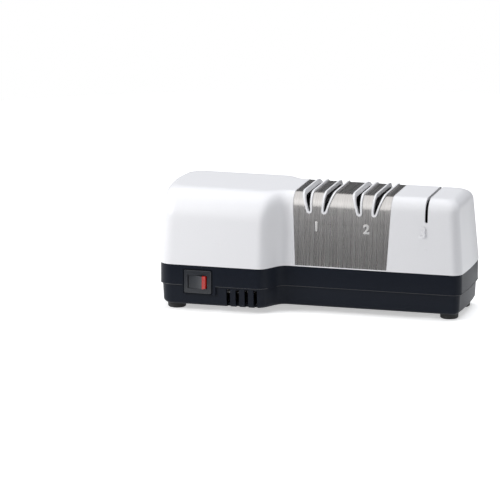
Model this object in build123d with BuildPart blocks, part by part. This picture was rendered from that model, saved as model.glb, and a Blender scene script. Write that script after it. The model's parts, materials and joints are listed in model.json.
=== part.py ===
from build123d import *

import os
from math import cos, radians, sin, sqrt, tan

os.makedirs("parts", exist_ok=True)

# Electric knife sharpener with two powered stages and one manual stage.
# X runs along the length with the motor at the left, Y points to the back, Z up.
# The origin is on the table under the middle of the body. All sizes in millimetres.

# ---------------------------------------------------------------- body
body_length = 253.0
motor_depth = 112.4
head_depth = 72.6
foot_height = 5.0
tray_height = 16.7
band_height = 16.7
cover_height = 60.0

cover_draft = 4.5
left_draft = 2.5
motor_edge_radius = 25.0
left_edge_radius = 5.0
head_edge_radius = 12.0
right_edge_radius = 9.0
motor_corner = 12.0
head_corner = 8.0
left_end_bow = 4.5
right_end_bow = 1.5
motor_end_length = 86.6
shoulder_length = 22.0

shoulder_start = motor_end_length - body_length / 2
shoulder_end = shoulder_start + shoulder_length

cover_wall = 2.6
frame_wall = 2.6
tray_wall = 2.4
deck_thickness = 2.5
deck_drop = 2.4
ledge_width = 4.0
ledge_thickness = 2.0
band_inset = 0.5
tray_inset = 1.9
tray_lean = 0.7
tray_edge_radius = 3.5
tray_edge_turn = 70
lip_gap = 0.6
lip_wall = 1.8
lip_height = 3.0
body_gap = 0.3
tray_lip_wall = 1.3
panel_gap = 0.6

tray_bottom = foot_height
parting = tray_bottom + tray_height
cover_base = parting + band_height
total_height = cover_base + cover_height
deck_top = cover_base - deck_drop
deck_bottom = deck_top - deck_thickness
tray_floor = tray_bottom + tray_wall
tray_wall_foot = tray_bottom + tray_edge_radius * sin(radians(tray_edge_turn))

# ---------------------------------------------------------------- sharpening stages
shaft_height = 62.0
stage_1_from_shoulder = 22.6
stage_pitch = 41.7
slot_spacing = 12.56
slot_lean = 11.0
slot_foot = 83.6
slot_width_low = 1.8
slot_width_high = 5.8
rim_width = 1.5
rim_height = 0.8
manual_slot_from_end = 30.8
manual_slot_foot = 79.5
manual_slot_width = 2.5

stage_1_x = shoulder_end + stage_1_from_shoulder
stage_2_x = stage_1_x + stage_pitch
manual_slot_x = body_length / 2 - manual_slot_from_end
stage_centres = (stage_1_x, stage_2_x)

# ---------------------------------------------------------------- steel cover plate
plate_middle = stage_1_x + stage_pitch / 2
plate_width_low = 76.4
plate_width_high = 82.0
plate_lift = 0.8
plate_thickness = 0.7
plate_sink = 0.25
plate_gap = 0.3

# ---------------------------------------------------------------- drive
shaft_diameter = 8.0
running_fit = 0.05
disk_diameter = 49.0
disk_nose_diameter = 25.0
disk_thickness = 1.5
disk_offset = 6.2
cone_rise = 1.9
hub_diameter = 14.0
hub_flange_diameter = 22.0
hub_length = 9.4
disk_travel = 1.5
hub_stop = 1.7
pin_diameter = 2.0
pin_grip = 12.0
spring_mean_radius = 5.6
spring_wire = 0.9

# ---------------------------------------------------------------- motor
motor_from_end = 56.0
motor_x = motor_from_end - body_length / 2
stack_length = 28.0
stack_width = 58.0
stack_above_shaft = 25.0
yoke_height = 11.0
yoke_base = 19.0
rotor_diameter = 33.2
air_gap = 0.4
window_width = 35.0
pole_bridge = 2.0
coil_build = 8.6
bobbin_wall = 1.0
end_ring_length = 4.0
bracket_standoff = 8.0
bracket_thickness = 3.0
bearing_length = 9.0
bearing_diameter = 12.0
bolt_spacing = 49.0
bolt_diameter = 4.0
fan_diameter = 56.0
fan_width = 8.0
fan_blades = 9

# ---------------------------------------------------------------- switch
switch_from_end = 37.3
switch_x = switch_from_end - body_length / 2
switch_z = 24.9
bezel_width = 22.7
bezel_height = 19.1
bezel_stand = 0.8
bezel_thickness = 1.6
rocker_width = 15.9
rocker_height = 10.4
rocker_gap = 0.25
switch_body_width = 18.0
switch_body_height = 12.4
switch_body_depth = 14.0

# ---------------------------------------------------------------- fastenings and feet
boss_radius = 3.8
screw_diameter = 3.5
screw_head_diameter = 6.6
screw_head_height = 2.2
foot_diameter = 15.4
foot_pocket = 1.6
foot_pad_rim = 1.5
foot_pad_height = 2.1
left_foot_inset = 15.6
right_foot_from_end = 13.7
right_foot_from_side = 15.1

left_foot_x = left_foot_inset - body_length / 2
left_foot_y = motor_depth / 2 - left_foot_inset
right_foot_x = body_length / 2 - right_foot_from_end
right_foot_y = head_depth / 2 - right_foot_from_side


# ---------------------------------------------------------------- body outline
def reach_at(z, base_reach, edge_radius, inset, draft_angle=cover_draft):
    """Distance from the middle to the drafted, top-rounded wall at height z."""
    draft = radians(draft_angle)
    radius = edge_radius - inset
    centre_z = total_height - edge_radius
    foot = base_reach - inset / cos(draft)
    centre = foot - (radius + (centre_z - cover_base) * sin(draft)) / cos(draft)
    if z <= centre_z + radius * sin(draft):
        return foot - (z - cover_base) * tan(draft)
    return centre + sqrt(max(radius**2 - (z - centre_z) ** 2, 0.0))


def outline(z, inset=0.0, shape_z=None):
    """Plan of the body at height z: wide motor end, S-shaped shoulder, slim head."""
    level = z if shape_z is None else shape_z
    left = -reach_at(level, body_length / 2, left_edge_radius, inset, left_draft)
    right = reach_at(level, body_length / 2, right_edge_radius, inset)
    motor = reach_at(level, motor_depth / 2, motor_edge_radius, inset)
    head = reach_at(level, head_depth / 2, head_edge_radius, inset)
    start = shoulder_start - 0.45 * inset
    end = shoulder_end - 0.45 * inset
    pull = (end - start) / 2
    with BuildSketch(Plane.XY.offset(z)) as plan:
        with BuildLine():
            ThreePointArc(
                (left + left_end_bow, motor), (left, 0), (left + left_end_bow, -motor)
            )
            Line((left + left_end_bow, -motor), (start, -motor))
            Bezier((start, -motor), (start + pull, -motor), (end - pull, -head), (end, -head))
            Line((end, -head), (right - right_end_bow, -head))
            ThreePointArc(
                (right - right_end_bow, -head), (right, 0), (right - right_end_bow, head)
            )
            Line((right - right_end_bow, head), (end, head))
            Bezier((end, head), (end - pull, head), (start + pull, motor), (start, motor))
            Line((start, motor), (left + left_end_bow, motor))
        make_face()
        fillet(plan.vertices().group_by(Axis.X)[0], max(motor_corner - inset, 1.0))
        fillet(plan.vertices().group_by(Axis.X)[-1], max(head_corner - inset, 1.0))
    return plan.sketch


def housing(inset, base=cover_base):
    """Solid body above the base line, its skin moved inwards by the inset."""
    radius = motor_edge_radius - inset
    centre_z = total_height - motor_edge_radius
    turns = (0, 5, 12, 20, 28, 36, 44, 52, 60, 67, 74, 80, 85, 90)
    with BuildPart() as body:
        loft(sections=[outline(base, inset), outline(centre_z, inset)])
        loft(sections=[outline(centre_z + radius * sin(radians(a)), inset) for a in turns])
    return body.part


def tray_walls(extra, low, high):
    """Leaning side walls of the lower tray as one solid, moved inwards by extra."""
    with BuildPart() as body:
        loft(
            sections=[
                outline(low, tray_inset + tray_lean + extra, cover_base),
                outline(high, tray_inset + extra, cover_base),
            ]
        )
    return body.part


def tray_round():
    """Rounded bottom edge of the lower tray, which meets the floor at a blunt angle."""
    with BuildPart() as body:
        loft(
            sections=[
                outline(
                    tray_wall_foot - tray_edge_radius * sin(radians(a)),
                    tray_inset + tray_lean + tray_edge_radius * (1 - cos(radians(a))),
                    cover_base,
                )
                for a in (tray_edge_turn, 58, 46, 34, 22, 10, 0)
            ]
        )
    return body.part


def ring(outer_inset, inner_inset, z_low, z_high):
    """Upright wall that follows the body outline."""
    with BuildPart() as wall:
        extrude(outline(z_low, outer_inset, cover_base), amount=z_high - z_low)
        extrude(
            outline(z_low, inner_inset, cover_base),
            amount=z_high - z_low,
            mode=Mode.SUBTRACT,
        )
    return wall.part


def slot_front(x_foot, z_foot, lean, width_low, width_high, border=0.0):
    """Front view of a knife slot that widens upwards and leans by the given angle."""
    top = total_height + 4
    rise = top - z_foot
    flare = (width_high - width_low) / 2 / (total_height - z_foot)
    low = width_low / 2 + border
    high = low + flare * rise
    x_top = x_foot + rise * tan(radians(lean))
    with BuildSketch(Plane.XZ) as view:
        with BuildLine():
            Line((x_foot - low, z_foot), (x_top - high, top))
            Line((x_top - high, top), (x_top + high, top))
            Line((x_top + high, top), (x_foot + low, z_foot))
            ThreePointArc((x_foot + low, z_foot), (x_foot, z_foot - low), (x_foot - low, z_foot))
        make_face()
    return view.sketch


def through_block(view):
    """Block of the given front view that runs through the body from front to back."""
    with BuildPart() as block:
        extrude(view, amount=motor_depth, both=True)
    return block.part


def powered_slots(border, width_low=slot_width_low, width_high=slot_width_high):
    """Through blocks of the four leaning slots of the powered stages."""
    with BuildSketch(Plane.XZ) as views:
        for centre in stage_centres:
            for side in (-1, 1):
                x_foot = centre + side * slot_spacing / 2
                z_foot = slot_foot + width_low / 2
                lean = side * slot_lean
                add(slot_front(x_foot, z_foot, lean, width_low, width_high, border))
    return through_block(views.sketch)


def manual_slot(width):
    """Through block of the upright slot of the manual stage."""
    z_foot = manual_slot_foot + width / 2
    return through_block(slot_front(manual_slot_x, z_foot, 0.0, width, width))


def plate_block(gap):
    """Through block of the steel plate's place, wider at the top than at the bottom."""
    low = plate_width_low / 2 - gap
    high = plate_width_high / 2 - gap
    foot = cover_base + plate_lift + gap
    top = total_height + 4
    with BuildSketch(Plane.XZ) as view:
        with BuildLine():
            Polyline(
                (plate_middle - low, foot),
                (plate_middle - high, total_height - 6),
                (plate_middle - high, top),
                (plate_middle + high, top),
                (plate_middle + high, total_height - 6),
                (plate_middle + low, foot),
                close=True,
            )
        make_face()
    return through_block(view.sketch)


# ---------------------------------------------------------------- screw places
lip_inset = cover_wall + lip_gap
boss_margin = lip_inset + lip_wall + 0.5 + boss_radius
left_boss_x = left_end_bow / 2 + boss_margin - body_length / 2
left_boss_y = 26.0
boss_places = [
    (left_boss_x, left_boss_y),
    (left_boss_x, -left_boss_y),
    (motor_x - 2.0, motor_depth / 2 - boss_margin),
    (motor_x - 2.0, boss_margin - motor_depth / 2),
    (manual_slot_x, head_depth / 2 - boss_margin),
    (manual_slot_x, boss_margin - head_depth / 2),
]
web_sides = [(-1, 0), (-1, 0), (0, 1), (0, -1), (0, 1), (0, -1)]
boss_top = cover_base + 20.0
web_reach = boss_margin - cover_wall / 2
web_thickness = 2.0
foot_places = [
    (left_foot_x, left_foot_y),
    (left_foot_x, -left_foot_y),
    (right_foot_x, right_foot_y),
    (right_foot_x, -right_foot_y),
]

# ---------------------------------------------------------------- top cover
outer_body = housing(0.0)
inner_body = housing(cover_wall, cover_base - 1.0)
raised_body = housing(-rim_height)
recess_floor = housing(plate_sink + plate_thickness)

with BuildPart() as slot_rims:
    add(powered_slots(rim_width))
    add(raised_body, mode=Mode.INTERSECT)

with BuildPart() as plate_recess:
    add(plate_block(0.0))
    add(raised_body, mode=Mode.INTERSECT)
    add(recess_floor, mode=Mode.SUBTRACT)

roof_rib_depth = 4.0
roof_rib_width = 1.8

with BuildPart() as roof_ribs:
    with Locations(*[(motor_x + x, 0, total_height - cover_wall) for x in (-34, 0, 34)]):
        Box(roof_rib_width, motor_depth, 2 * roof_rib_depth)
    add(inner_body, mode=Mode.INTERSECT)

with BuildPart() as top_cover:
    add(outer_body)
    add(plate_recess.part, mode=Mode.SUBTRACT)
    add(slot_rims.part)
    add(inner_body, mode=Mode.SUBTRACT)
    add(powered_slots(0.0), mode=Mode.SUBTRACT)
    add(manual_slot(manual_slot_width), mode=Mode.SUBTRACT)
    add(roof_ribs.part)
    for (x, y), (side_x, side_y) in zip(boss_places, web_sides):
        with BuildSketch(Plane.XY.offset(deck_top)):
            with Locations((x, y)):
                Circle(boss_radius)
        extrude(amount=boss_top - deck_top)
        with BuildSketch(Plane.XY.offset(cover_base + lip_height + body_gap)):
            with Locations((x + side_x * web_reach / 2, y + side_y * web_reach / 2)):
                Rectangle(
                    abs(side_x) * web_reach + abs(side_y) * web_thickness,
                    abs(side_y) * web_reach + abs(side_x) * web_thickness,
                )
        extrude(amount=boss_top - cover_base - lip_height - body_gap)
        with BuildSketch(Plane.XY.offset(deck_top)):
            with Locations((x, y)):
                Circle(screw_diameter / 2)
        extrude(amount=boss_top - deck_top - 4, mode=Mode.SUBTRACT)
top_cover.part.label = "top_cover"
export_step(top_cover.part, "parts/top_cover.step")

# ---------------------------------------------------------------- steel cover plate
plate_skin = housing(plate_sink)

with BuildPart() as cover_plate:
    add(plate_skin)
    add(recess_floor, mode=Mode.SUBTRACT)
    add(plate_block(plate_gap), mode=Mode.INTERSECT)
    add(powered_slots(rim_width + plate_gap), mode=Mode.SUBTRACT)
cover_plate.part.label = "steel_cover_plate"
export_step(cover_plate.part, "parts/steel_cover_plate.step")

# ---------------------------------------------------------------- main frame
band_inner = band_inset + frame_wall
ledge_inset = lip_inset + lip_wall + ledge_width
front_face = band_inset - motor_depth / 2
bezel_seat = bezel_thickness - bezel_stand
tab_low = switch_z - bezel_height / 2 - 1.0
tab_left = switch_x - bezel_width / 2 - 1.6
tab_right = switch_x + bezel_width / 2 + 3.7
stack_left = motor_x - stack_length / 2
stack_right = motor_x + stack_length / 2
fan_x = stack_left - bracket_standoff - bracket_thickness - 3 - fan_width / 2 - 1.5
coil_reach = coil_build + bobbin_wall
motor_hole_left = stack_left - coil_reach - 3
motor_hole_right = stack_right + coil_reach + 2.5
cord_from_end = 24.0
cord_x = cord_from_end - body_length / 2
cord_z = (parting + deck_bottom) / 2
cord_hole = 10.0
inlet_room = 16.0
ledge_room = 12.0

bracket_half = 40.0
bracket_bar = 20.0
bracket_leg = 4.0
bracket_foot = 14.0
shaft_right = stage_2_x + 29.3
outboard_x = shaft_right - 5.3
outboard_width = 30.0
outboard_foot = 14.0
bracket_faces = {
    "motor_bracket_front": stack_right + bracket_standoff,
    "motor_bracket_rear": stack_left - bracket_standoff,
}
bracket_screw_places = [
    (outboard_x, outboard_width / 2 + 4),
    (outboard_x, -outboard_width / 2 - 4),
]
for face_x, away in zip(bracket_faces.values(), (1, -1)):
    screw_x = face_x + away * (bracket_foot / 2 + 1)
    bracket_screw_places += [(screw_x, bracket_half + 3), (screw_x, -bracket_half - 3)]

with BuildPart() as main_frame:
    add(ring(band_inset, band_inner, parting, cover_base))
    # Ledge that carries the chassis plate, and the lip that locates the cover.
    add(ring(band_inset + 1, ledge_inset, deck_bottom - ledge_thickness, deck_bottom))
    add(ring(lip_inset, lip_inset + lip_wall, deck_bottom - 1, cover_base + lip_height))
    # Room in the ledge for the lead inlet at the back.
    with BuildSketch(Plane.XY.offset(deck_bottom - ledge_thickness)):
        with Locations((cord_x, motor_depth / 2 - band_inner - ledge_room / 2)):
            Rectangle(inlet_room, ledge_room)
    extrude(amount=ledge_thickness, mode=Mode.SUBTRACT)
    # Bosses that carry the long housing screws.
    with BuildSketch(Plane.XY.offset(parting)):
        with Locations(*boss_places):
            Circle(boss_radius)
    extrude(amount=deck_bottom - parting)
    with BuildSketch(Plane.XY.offset(parting)):
        with Locations(*boss_places):
            Circle(screw_diameter / 2 + body_gap)
    extrude(amount=deck_bottom - parting, mode=Mode.SUBTRACT)
    # Panel for the rocker switch, which reaches down into the tray.
    with BuildSketch(Plane.XZ.offset(-front_face - frame_wall)):
        with Locations(((tab_left + tab_right) / 2, (tab_low + deck_bottom) / 2)):
            Rectangle(tab_right - tab_left, deck_bottom - tab_low)
    extrude(amount=frame_wall)
    with BuildSketch(Plane.XZ.offset(-front_face)):
        with Locations((switch_x + 0.3, switch_z + 0.1)):
            Rectangle(bezel_width + 2 * 1.1, bezel_height + 1.4)
    extrude(amount=-bezel_seat, mode=Mode.SUBTRACT)
    with BuildSketch(Plane.XZ.offset(-front_face)):
        with Locations((switch_x, switch_z)):
            Rectangle(switch_body_width + 0.2, switch_body_height + 0.2)
    extrude(amount=-frame_wall - 1, mode=Mode.SUBTRACT)
    # Hole for the mains lead at the back.
    with BuildSketch(Plane.XZ.offset(front_face)):
        with Locations((cord_x, cord_z)):
            Circle(cord_hole / 2)
    extrude(amount=frame_wall + 1, mode=Mode.SUBTRACT)
main_frame.part.label = "main_frame"
export_step(main_frame.part, "parts/main_frame.step")

# ---------------------------------------------------------------- chassis plate
# It rests on the ledge and is clamped between the bosses of the frame and the cover.
with BuildPart() as chassis_plate:
    extrude(
        outline(deck_bottom, lip_inset + lip_wall + body_gap, cover_base),
        amount=deck_thickness,
    )
    # Stiffening ribs under the plate at the head.
    with BuildSketch(Plane.XY.offset(parting + 3)):
        with Locations(((stage_1_x + stage_2_x) / 2, 0), (stage_2_x + 26, 0)):
            Rectangle(2, head_depth - 2 * (ledge_inset + body_gap))
    extrude(amount=deck_bottom - parting - 3 + deck_thickness / 2)
    with BuildSketch(Plane.XY.offset(deck_bottom)):
        with Locations(*boss_places):
            Circle(screw_diameter / 2 + body_gap)
    extrude(amount=deck_thickness, mode=Mode.SUBTRACT)
    # Openings for the motor, its fan and the grinding swarf.
    with BuildSketch(Plane.XY.offset(deck_bottom)):
        with Locations(((motor_hole_left + motor_hole_right) / 2, 0)):
            Rectangle(motor_hole_right - motor_hole_left, stack_width + 4)
        with Locations((fan_x, 0)):
            Rectangle(fan_width + 4, fan_diameter / 2)
        with Locations(*[(x, 0) for x in stage_centres]):
            RectangleRounded(20, 40, 3)
        with Locations((manual_slot_x, 0)):
            RectangleRounded(14, 18, 3)
        with Locations(*bracket_screw_places):
            Circle(screw_diameter / 2)
    extrude(amount=deck_thickness, mode=Mode.SUBTRACT)
chassis_plate.part.label = "chassis_plate"
export_step(chassis_plate.part, "parts/chassis_plate.step")

# ---------------------------------------------------------------- lower tray
vent_width = 3.0
vent_pitch = 7.55
vent_count = 4
vent_top = parting - 1.8
vent_x = shoulder_start - 1.3 - vent_pitch * (vent_count - 1) / 2
clean_out_x = stage_1_x + stage_pitch / 2
clean_out_length = 62.0
clean_out_width = 28.0
clean_out_ledge = 3.0
clean_out_plate = 1.5
counterbore_depth = 3.0

with BuildPart() as bottom_tray:
    add(tray_walls(0.0, tray_wall_foot, parting))
    add(tray_round())
    add(tray_walls(tray_wall, tray_floor, parting + 1), mode=Mode.SUBTRACT)
    lip_outer = band_inner + body_gap
    add(ring(lip_outer, lip_outer + tray_lip_wall, parting - 3, parting + 2))
    with BuildSketch(Plane.XY.offset(tray_floor - 1)):
        with Locations(*boss_places):
            Circle(boss_radius + 0.6)
    extrude(amount=parting - tray_floor + 1)
    with BuildSketch(Plane.XY.offset(tray_floor - 1)):
        with Locations(*foot_places):
            Circle(foot_diameter / 2 + foot_pad_rim)
    extrude(amount=foot_pad_height + 1)
    # Foot pockets, screw holes and counterbores from below.
    with BuildSketch(Plane.XY.offset(tray_bottom)):
        with Locations(*foot_places):
            Circle(foot_diameter / 2)
    extrude(amount=foot_pocket, mode=Mode.SUBTRACT)
    with BuildSketch(Plane.XY.offset(tray_bottom)):
        with Locations(*boss_places):
            Circle(screw_head_diameter / 2 + body_gap)
    extrude(amount=counterbore_depth, mode=Mode.SUBTRACT)
    with BuildSketch(Plane.XY.offset(tray_bottom)):
        with Locations(*boss_places):
            Circle(screw_diameter / 2 + body_gap)
    extrude(amount=parting - tray_bottom, mode=Mode.SUBTRACT)
    # Cooling vents at the front and the back, open at the bottom edge.
    with BuildSketch(Plane.XZ.offset(motor_depth / 2 - tray_inset - tray_wall - 3.0)):
        with GridLocations(vent_pitch, 1, vent_count, 1):
            with Locations((vent_x, (vent_top + tray_bottom) / 2)):
                Rectangle(vent_width, vent_top - tray_bottom + 0.02)
    extrude(amount=8, mode=Mode.SUBTRACT)
    with BuildSketch(Plane.XZ.offset(-motor_depth / 2 + tray_inset + tray_wall + 3.0)):
        with GridLocations(vent_pitch, 1, vent_count, 1):
            with Locations((vent_x, (vent_top + tray_bottom) / 2)):
                Rectangle(vent_width, vent_top - tray_bottom + 0.02)
    extrude(amount=-8, mode=Mode.SUBTRACT)
    # Air inlets in the floor under the motor.
    with BuildSketch(Plane.XY.offset(tray_bottom)):
        with Locations((motor_x, 0)):
            with GridLocations(9, 1, 4, 1):
                SlotOverall(30, 3, rotation=90)
    extrude(amount=tray_wall, mode=Mode.SUBTRACT)
    # Clean-out opening with a ledge for its cover.
    with BuildSketch(Plane.XY.offset(tray_bottom)):
        with Locations((clean_out_x, 0)):
            RectangleRounded(clean_out_length, clean_out_width, 3)
    extrude(amount=tray_wall, mode=Mode.SUBTRACT)
    with BuildSketch(Plane.XY.offset(tray_bottom)):
        with Locations((clean_out_x, 0)):
            RectangleRounded(
                clean_out_length + 2 * clean_out_ledge,
                clean_out_width + 2 * clean_out_ledge,
                4,
            )
    extrude(amount=clean_out_plate, mode=Mode.SUBTRACT)
    # Room in the lip for the lead inlet at the back.
    with BuildSketch(Plane.XY.offset(parting)):
        with Locations((cord_x, motor_depth / 2)):
            Rectangle(inlet_room, 12)
    extrude(amount=4, mode=Mode.SUBTRACT)
    # Notch for the switch panel and the switch body.
    with BuildSketch(Plane.XZ.offset(-front_face - frame_wall - panel_gap)):
        with Locations(((tab_left + tab_right) / 2, (tab_low - body_gap + parting + 3) / 2)):
            Rectangle(
                tab_right - tab_left + 2 * body_gap,
                parting + 3 - tab_low + body_gap,
            )
    extrude(amount=10, mode=Mode.SUBTRACT)
    with BuildSketch(Plane.XZ.offset(-front_face - switch_body_depth - 2)):
        with Locations((switch_x, switch_z)):
            Rectangle(switch_body_width + 1.2, switch_body_height + 1.2)
    extrude(amount=switch_body_depth + 10, mode=Mode.SUBTRACT)
bottom_tray.part.label = "bottom_tray"
export_step(bottom_tray.part, "parts/bottom_tray.step")

# ---------------------------------------------------------------- clean-out cover and magnet
skirt_height = 6.0
skirt_wall = 1.4
magnet_length = 20.0
magnet_width = 9.0
magnet_height = 3.0
cover_low = tray_bottom + 0.2
cover_high = tray_bottom + clean_out_plate

with BuildPart() as clean_out_cover:
    with BuildSketch(Plane.XY.offset(cover_low)):
        with Locations((clean_out_x, 0)):
            RectangleRounded(
                clean_out_length + 2 * clean_out_ledge - 2 * body_gap,
                clean_out_width + 2 * clean_out_ledge - 2 * body_gap,
                4 - body_gap,
            )
    extrude(amount=cover_high - cover_low)
    with BuildSketch(Plane.XY.offset(cover_high)):
        with Locations((clean_out_x, 0)):
            RectangleRounded(clean_out_length - 2 * body_gap, clean_out_width - 2 * body_gap, 2.7)
            RectangleRounded(
                clean_out_length - 2 * body_gap - 2 * skirt_wall,
                clean_out_width - 2 * body_gap - 2 * skirt_wall,
                1.3,
                mode=Mode.SUBTRACT,
            )
            Rectangle(magnet_length + 2 * skirt_wall, magnet_width + 2 * skirt_wall)
            Rectangle(magnet_length, magnet_width, mode=Mode.SUBTRACT)
    extrude(amount=skirt_height)
    # Finger recess on the underside.
    with BuildSketch(Plane.XY.offset(cover_low)):
        with Locations((clean_out_x + clean_out_length / 2 - 5, 0)):
            SlotOverall(14, 5, rotation=90)
    extrude(amount=0.6, mode=Mode.SUBTRACT)
clean_out_cover.part.label = "clean_out_cover"
export_step(clean_out_cover.part, "parts/clean_out_cover.step")

with BuildPart() as swarf_magnet:
    with BuildSketch(Plane.XY.offset(cover_high)):
        with Locations((clean_out_x, 0)):
            Rectangle(magnet_length, magnet_width)
    extrude(amount=magnet_height)
    chamfer(swarf_magnet.faces().sort_by(Axis.Z)[-1].edges(), 0.4)
swarf_magnet.part.label = "swarf_magnet"
export_step(swarf_magnet.part, "parts/swarf_magnet.step")

# ---------------------------------------------------------------- rubber feet
foot_taper = 3.0

with BuildPart() as rubber_feet:
    with BuildSketch(Plane.XY.offset(tray_bottom + foot_pocket)):
        with Locations(*foot_places):
            Circle(foot_diameter / 2)
    extrude(amount=-foot_height - foot_pocket, taper=foot_taper)
    chamfer(rubber_feet.faces().group_by(Axis.Z)[0].edges(), 0.7)
rubber_feet.part.label = "rubber_feet"
export_step(rubber_feet.part, "parts/rubber_feet.step")

# ---------------------------------------------------------------- rocker switch
bezel_front = front_face - bezel_stand
bezel_back = front_face + bezel_seat
pivot_y = bezel_front + 3.6
pivot_radius = 1.2
pivot_length = 0.55
well_depth = 9.0

with BuildPart() as switch_body:
    with BuildSketch(Plane.XZ.offset(-bezel_back)):
        with Locations((switch_x, switch_z)):
            RectangleRounded(bezel_width, bezel_height, 1.2)
    extrude(amount=bezel_thickness)
    chamfer(switch_body.faces().sort_by(Axis.Y)[0].edges(), 0.5)
    with BuildSketch(Plane.XZ.offset(-bezel_back)):
        with Locations((switch_x, switch_z)):
            Rectangle(switch_body_width, switch_body_height)
    extrude(amount=-switch_body_depth)
    with BuildSketch(Plane.XZ.offset(-bezel_front)):
        with Locations((switch_x, switch_z)):
            Rectangle(rocker_width + 2 * rocker_gap, rocker_height + 2 * rocker_gap)
    extrude(amount=-well_depth, mode=Mode.SUBTRACT)
    # Holes for the rocker's pivot stubs.
    with BuildSketch(Plane.XY.offset(switch_z)):
        with Locations((switch_x, pivot_y)):
            Circle(pivot_radius + running_fit)
    extrude(amount=switch_body_height, both=True, mode=Mode.SUBTRACT)
    # Terminals at the back.
    with BuildSketch(Plane.XZ.offset(-bezel_back - switch_body_depth)):
        with Locations((switch_x - 4, switch_z), (switch_x + 4, switch_z)):
            Rectangle(0.8, 4.8)
    extrude(amount=-6)
switch_body.part.label = "switch_body"
export_step(switch_body.part, "parts/switch_body.step")

# The rocker turns about an upright pin. At rest its left half is pressed in.
rocker_half = rocker_width / 2 - 2 * rocker_gap
rocker_low = switch_z - rocker_height / 2
rocker_left = switch_x - rocker_half
rocker_right = switch_x + rocker_half
rocker_peak = switch_x + 4.4

with BuildPart() as switch_rocker:
    with BuildSketch(Plane.XY.offset(rocker_low)):
        with BuildLine():
            Line((rocker_left, pivot_y + 0.4), (rocker_left, pivot_y - 3.3))
            Spline(
                (rocker_left, pivot_y - 3.3),
                (switch_x - 0.8, pivot_y - 3.9),
                (rocker_peak, pivot_y - 6.1),
            )
            Line((rocker_peak, pivot_y - 6.1), (rocker_peak, pivot_y - 3.4))
            Line((rocker_peak, pivot_y - 3.4), (rocker_right, pivot_y - 2.4))
            Line((rocker_right, pivot_y - 2.4), (rocker_right - 1.4, pivot_y + 0.4))
            Line((rocker_right - 1.4, pivot_y + 0.4), (switch_x + 1.6, pivot_y + 3.2))
            Line((switch_x + 1.6, pivot_y + 3.2), (switch_x - 1.6, pivot_y + 3.2))
            Line((switch_x - 1.6, pivot_y + 3.2), (rocker_left, pivot_y + 0.4))
        make_face()
    extrude(amount=rocker_height)
    # Pivot stubs above and below.
    with BuildSketch(Plane.XY.offset(switch_z)):
        with Locations((switch_x, pivot_y)):
            Circle(pivot_radius)
    extrude(amount=rocker_height / 2 + rocker_gap + pivot_length, both=True)
switch_rocker.part.label = "switch_rocker"
export_step(switch_rocker.part, "parts/switch_rocker.step")

with BuildPart() as rocker_red_end:
    with BuildSketch(Plane.XY.offset(rocker_low)):
        with BuildLine():
            Line((rocker_peak, pivot_y - 3.4), (rocker_peak, pivot_y - 6.0))
            Spline(
                (rocker_peak, pivot_y - 6.0),
                (rocker_right - 1.1, pivot_y - 4.6),
                (rocker_right, pivot_y - 2.4),
            )
            Line((rocker_right, pivot_y - 2.4), (rocker_peak, pivot_y - 3.4))
        make_face()
    extrude(amount=rocker_height)
rocker_red_end.part.label = "rocker_red_end"
export_step(rocker_red_end.part, "parts/rocker_red_end.step")

# ---------------------------------------------------------------- lead inlet grommet
grommet_flange = 14.0
grommet_bore = 6.5
back_face = -front_face

with BuildPart() as inlet_grommet:
    with BuildSketch(Plane.XZ.offset(-back_face - 2.0)):
        with Locations((cord_x, cord_z)):
            Circle(grommet_flange / 2)
    extrude(amount=2.0)
    with BuildSketch(Plane.XZ.offset(-back_face)):
        with Locations((cord_x, cord_z)):
            Circle(cord_hole / 2)
    extrude(amount=frame_wall + 0.1)
    with BuildSketch(Plane.XZ.offset(-back_face + frame_wall + 0.1)):
        with Locations((cord_x, cord_z)):
            Circle(grommet_flange / 2 - 1.2)
    extrude(amount=1.6)
    with BuildSketch(Plane.XZ.offset(-back_face - 2.0)):
        with Locations((cord_x, cord_z)):
            Circle(grommet_bore / 2)
    extrude(amount=frame_wall + 4, mode=Mode.SUBTRACT)
    chamfer(inlet_grommet.faces().sort_by(Axis.Y)[-1].outer_wire().edges(), 0.7)
inlet_grommet.part.label = "lead_inlet_grommet"
export_step(inlet_grommet.part, "parts/lead_inlet_grommet.step")

# ---------------------------------------------------------------- motor stator
shaft_axis = Axis((0, 0, shaft_height), (1, 0, 0))
yoke_top = yoke_base + yoke_height
stack_top = shaft_height + stack_above_shaft
bore_radius = rotor_diameter / 2 + air_gap
window_top = shaft_height - bore_radius - pole_bridge
shading_radius = bore_radius + 3.0
shading_wire = 2.0


def across(x):
    """Plane square to the shaft at x, its origin on the shaft centre line."""
    return Plane(origin=(x, 0, shaft_height), x_dir=(0, 1, 0), z_dir=(1, 0, 0))


def shading_points(side):
    """Places of the two legs of one shading ring, seen along the shaft."""
    places = []
    for angle in (28, 62):
        turn = radians(angle if side > 0 else angle + 180)
        places.append((shading_radius * cos(turn), shading_radius * sin(turn)))
    return places


with BuildPart() as stator_core:
    with BuildSketch(across(stack_left)):
        with Locations((0, (stack_top + yoke_base) / 2 - shaft_height)):
            Rectangle(stack_width, stack_top - yoke_base)
        with Locations((0, (window_top + yoke_top) / 2 - shaft_height)):
            Rectangle(window_width, window_top - yoke_top, mode=Mode.SUBTRACT)
        Circle(bore_radius, mode=Mode.SUBTRACT)
        with Locations((-bolt_spacing / 2, 0), (bolt_spacing / 2, 0)):
            Circle(bolt_diameter / 2 + 0.1, mode=Mode.SUBTRACT)
        with Locations(*shading_points(1), *shading_points(-1)):
            Circle(shading_wire / 2 + 0.1, mode=Mode.SUBTRACT)
    extrude(amount=stack_length)
    fillet(stator_core.edges().filter_by(Axis.X).group_by(Axis.Z)[0], 2.0)
    fillet(stator_core.edges().filter_by(Axis.X).group_by(Axis.Z)[-1], 4.0)
stator_core.part.label = "stator_core"
export_step(stator_core.part, "parts/stator_core.step")

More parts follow.
